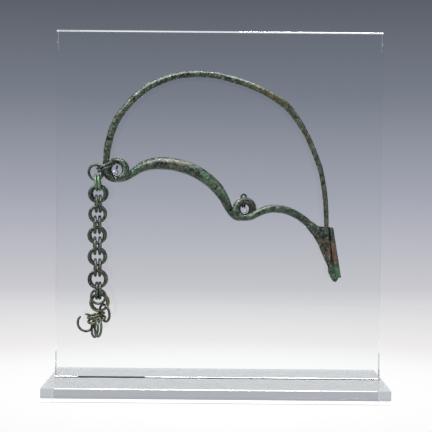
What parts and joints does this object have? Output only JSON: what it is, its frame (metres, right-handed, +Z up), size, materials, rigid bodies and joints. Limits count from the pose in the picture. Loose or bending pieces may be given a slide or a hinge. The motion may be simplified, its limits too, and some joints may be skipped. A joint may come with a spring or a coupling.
{
  "type": "serpentine bronze fibula with ring chain on a clear stand",
  "caption": "Bronze dress pin with a bowed wire, spring, eyelet and folded catch, a chain of paired rings hanging from its spring, held on a clear upright stand.",
  "frame": {"origin": "middle of the base plate's underside", "axes": "+Z up the panel, +X to the object's right as seen from the front, +Y from the front edge back through the panel; the fibula faces -Y"},
  "size_m": [0.2, 0.095, 0.216],
  "materials": {
    "bronze": "wrought bronze with a dark green patina",
    "ring_bronze": "drawn bronze wire with a grey-green patina",
    "clear_acrylic": "clear polished acrylic sheet and rod",
    "black_cord": "black tie"
  },
  "bodies": {
    "root": {"fibula": "bronze", "chain_ring_01": "ring_bronze", "chain_ring_02": "ring_bronze", "chain_ring_03": "ring_bronze", "chain_ring_04": "ring_bronze", "chain_ring_05": "ring_bronze", "chain_ring_06": "ring_bronze", "chain_ring_07": "ring_bronze", "chain_ring_08": "ring_bronze", "chain_ring_09": "ring_bronze", "chain_ring_10": "ring_bronze", "chain_ring_11": "ring_bronze", "chain_ring_12": "ring_bronze", "chain_ring_13": "ring_bronze", "chain_ring_14": "ring_bronze", "chain_ring_15": "ring_bronze", "chain_ring_16": "ring_bronze", "chain_ring_17": "ring_bronze", "chain_ring_18": "ring_bronze", "chain_ring_19": "ring_bronze", "chain_ring_20": "ring_bronze", "chain_ring_21": "ring_bronze", "chain_ring_22": "ring_bronze", "chain_ring_23": "ring_bronze", "chain_ring_24": "ring_bronze", "chain_ring_25": "ring_bronze", "chain_ring_26": "ring_bronze", "chain_ring_27": "ring_bronze", "chain_ring_28": "ring_bronze", "chain_ring_29": "ring_bronze", "chain_ring_30": "ring_bronze", "chain_ring_31": "ring_bronze", "chain_ring_32": "ring_bronze", "chain_ring_33": "ring_bronze", "chain_ring_34": "ring_bronze", "open_ring": "ring_bronze", "base_plate": "clear_acrylic", "panel": "clear_acrylic", "peg_left": "clear_acrylic", "peg_right": "clear_acrylic", "tie_left": "black_cord", "tie_right": "black_cord"}
  },
  "joints": []
}
